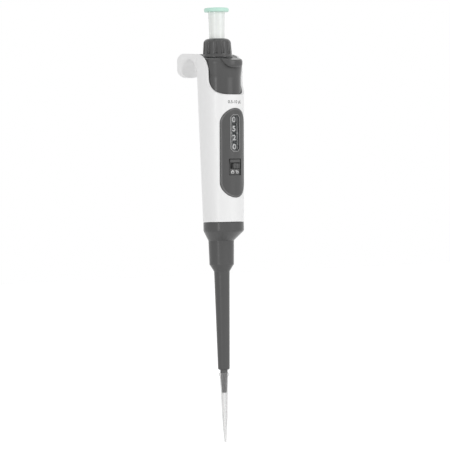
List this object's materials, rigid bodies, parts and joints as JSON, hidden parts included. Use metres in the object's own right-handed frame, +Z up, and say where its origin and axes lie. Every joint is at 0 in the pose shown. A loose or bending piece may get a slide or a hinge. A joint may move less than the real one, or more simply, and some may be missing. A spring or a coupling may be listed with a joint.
{
  "type": "adjustable micropipette",
  "caption": "Hand-held air-displacement micropipette with push button, volume knob, counter window, volume lock, finger hook, tip ejector and a fitted disposable tip.",
  "frame": {"origin": "plunger axis at the lower end of the nozzle", "axes": "+Z up along the plunger axis, -Y to the counter window, +Y to the finger hook, +X along the hook's width"},
  "size_m": [0.0302, 0.0504, 0.2746],
  "materials": {
    "shell_white": "smooth",
    "cover_grey": "fine matt",
    "lens_clear": "clear",
    "button_grey": "fine matt",
    "sleeve_grey": "fine matt",
    "knob_grey": "fine matt",
    "cap_mint": "satin",
    "stem_frosted": "frosted",
    "drum_black": "matt",
    "gear_white": "matt",
    "chassis_grey": "matt",
    "steel": "ground",
    "spring_steel": "drawn wire",
    "seal_white": "matt",
    "rubber_black": "matt",
    "shaft_grey": "fine matt",
    "tip_clear": "translucent"
  },
  "bodies": {
    "handle": {"handle_shell": "shell_white", "front_cover": "cover_grey", "window_lens": "lens_clear", "handle_screw": "steel", "chassis": "chassis_grey", "bearing_ring": "chassis_grey", "counter_frame": "chassis_grey", "counter_axle": "steel", "carry_shaft": "steel", "shaft": "shaft_grey", "shaft_nut": "chassis_grey", "seal_retainer": "steel", "piston_seal": "seal_white", "o_ring": "rubber_black", "piston_spring": "spring_steel", "ejector_spring": "spring_steel"},
    "volume_knob": {"volume_knob": "knob_grey", "spindle": "steel", "spindle_gear": "gear_white"},
    "stroke_nut": {"stroke_nut": "gear_white"},
    "plunger": {"button_cap": "cap_mint", "button_stem": "stem_frosted", "plunger_rod": "steel", "blow_out_spring": "spring_steel", "stop_washer": "steel", "piston_head": "gear_white", "piston": "steel"},
    "hundredths_drum": {"hundredths_drum": "drum_black", "counter_gear": "gear_white"},
    "tenths_drum": {"tenths_drum": "drum_black"},
    "units_drum": {"units_drum": "drum_black"},
    "tens_drum": {"tens_drum": "drum_black"},
    "tenths_pinion": {"tenths_pinion": "gear_white"},
    "units_pinion": {"units_pinion": "gear_white"},
    "tens_pinion": {"tens_pinion": "gear_white"},
    "ejector": {"ejector_button": "button_grey", "ejector_bar": "steel", "ejector_sleeve": "sleeve_grey"},
    "lock_slider": {"lock_slider": "button_grey"},
    "tip": {"tip": "tip_clear"}
  },
  "joints": [
    {"name": "knob_turn", "type": "hinge", "parent": "handle", "child": "volume_knob", "pos_m": [0, 0, 0.21], "axis": [0, 0, 1], "range_deg": [-6774, 6918]},
    {"name": "nut_travel", "type": "slide", "parent": "handle", "child": "stroke_nut", "axis": [0, 0, 1], "range_m": [-0.00564, 0.00576]},
    {"name": "plunger_press", "type": "slide", "parent": "stroke_nut", "child": "plunger", "axis": [0, 0, -1], "range_m": [0, 0.00924], "stiffness_N_per_m": 250, "springref_m": -0.002, "deforming": ["piston_spring"]},
    {"name": "hundredths_turn", "type": "hinge", "parent": "handle", "child": "hundredths_drum", "pos_m": [0, -0.01008, 0.155], "axis": [0, 0, 1], "range_deg": [-17286, 16926]},
    {"name": "tenths_turn", "type": "hinge", "parent": "handle", "child": "tenths_drum", "pos_m": [0, -0.01008, 0.16], "axis": [0, 0, 1], "range_deg": [-1734, 1698]},
    {"name": "units_turn", "type": "hinge", "parent": "handle", "child": "units_drum", "pos_m": [0, -0.01008, 0.166], "axis": [0, 0, 1], "range_deg": [-178.8, 175.2]},
    {"name": "tens_turn", "type": "hinge", "parent": "handle", "child": "tens_drum", "pos_m": [0, -0.01008, 0.172], "axis": [0, 0, 1], "range_deg": [-23.28, 22.92]},
    {"name": "tenths_pinion_turn", "type": "hinge", "parent": "handle", "child": "tenths_pinion", "pos_m": [-0.00632, -0.00778, 0.158], "axis": [0, 0, 1], "range_deg": [-4236, 4326]},
    {"name": "units_pinion_turn", "type": "hinge", "parent": "handle", "child": "units_pinion", "pos_m": [-0.00632, -0.00778, 0.164], "axis": [0, 0, 1], "range_deg": [-429, 438]},
    {"name": "tens_pinion_turn", "type": "hinge", "parent": "handle", "child": "tens_pinion", "pos_m": [-0.00632, -0.00778, 0.17], "axis": [0, 0, 1], "range_deg": [-48.3, 49.2]},
    {"name": "ejector_press", "type": "slide", "parent": "handle", "child": "ejector", "axis": [0, 0, -1], "range_m": [0, 0.0065], "stiffness_N_per_m": 300, "springref_m": -0.004, "deforming": ["ejector_spring"]},
    {"name": "tip_release", "type": "slide", "parent": "handle", "child": "tip", "axis": [0, 0, -1], "range_m": [0, 0.0066]},
    {"name": "lock_slide", "type": "slide", "parent": "handle", "child": "lock_slider", "axis": [-1, 0, 0], "range_m": [0, 0.0018]}
  ],
  "couplings": [
    {"joint": "knob_turn", "follows": "nut_travel", "rad_per_m": 20944},
    {"joint": "hundredths_turn", "follows": "nut_travel", "rad_per_m": -52360},
    {"joint": "tenths_turn", "follows": "nut_travel", "rad_per_m": -5236},
    {"joint": "units_turn", "follows": "nut_travel", "rad_per_m": -523.6},
    {"joint": "tens_turn", "follows": "nut_travel", "rad_per_m": -52.36},
    {"joint": "tenths_pinion_turn", "follows": "nut_travel", "rad_per_m": 13090},
    {"joint": "units_pinion_turn", "follows": "nut_travel", "rad_per_m": 1309},
    {"joint": "tens_pinion_turn", "follows": "nut_travel", "rad_per_m": 130.9},
    {"joint": "tip_release", "follows": "ejector_press", "ratio": 1}
  ]
}
